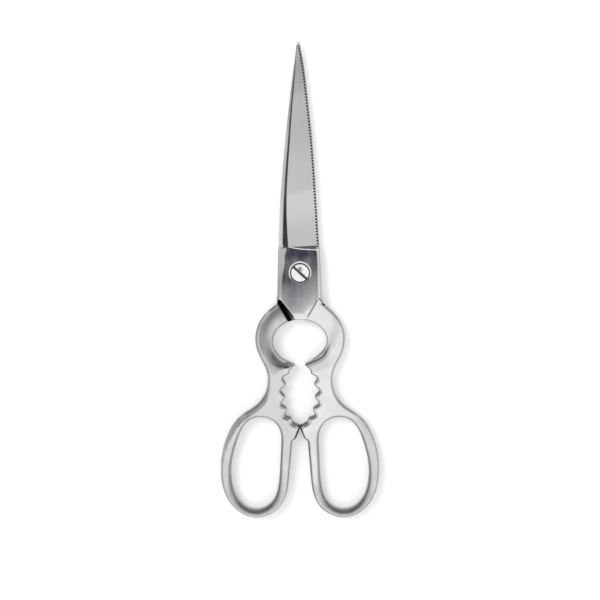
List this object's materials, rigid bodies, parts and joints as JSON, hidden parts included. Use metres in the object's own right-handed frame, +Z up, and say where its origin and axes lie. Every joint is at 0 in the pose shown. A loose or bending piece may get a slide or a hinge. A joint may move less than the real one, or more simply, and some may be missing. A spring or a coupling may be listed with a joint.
{
  "type": "kitchen shears",
  "caption": "All-steel kitchen shears with finger loops, toothed jaw, opener lip and finely notched blade.",
  "frame": {"origin": "on the pivot axis, at the surface that the closed shears lie on", "axes": "+Y to the blade tips, +X to the handle of the front half, +Z up through the screw head"},
  "size_m": [0.079, 0.2372, 0.0071],
  "materials": {
    "front_half_steel": "satin",
    "rear_half_steel": "satin",
    "screw_steel": "polished",
    "nut_steel": "satin"
  },
  "bodies": {
    "rear": {"plain_half": "rear_half_steel", "pivot_screw": "screw_steel", "pivot_nut": "nut_steel"},
    "front": {"serrated_half": "front_half_steel"}
  },
  "joints": [
    {"name": "pivot", "type": "hinge", "parent": "rear", "child": "front", "pos_m": [0, 0, 0], "axis": [0, 0, 1], "range_deg": [0, 105]}
  ]
}
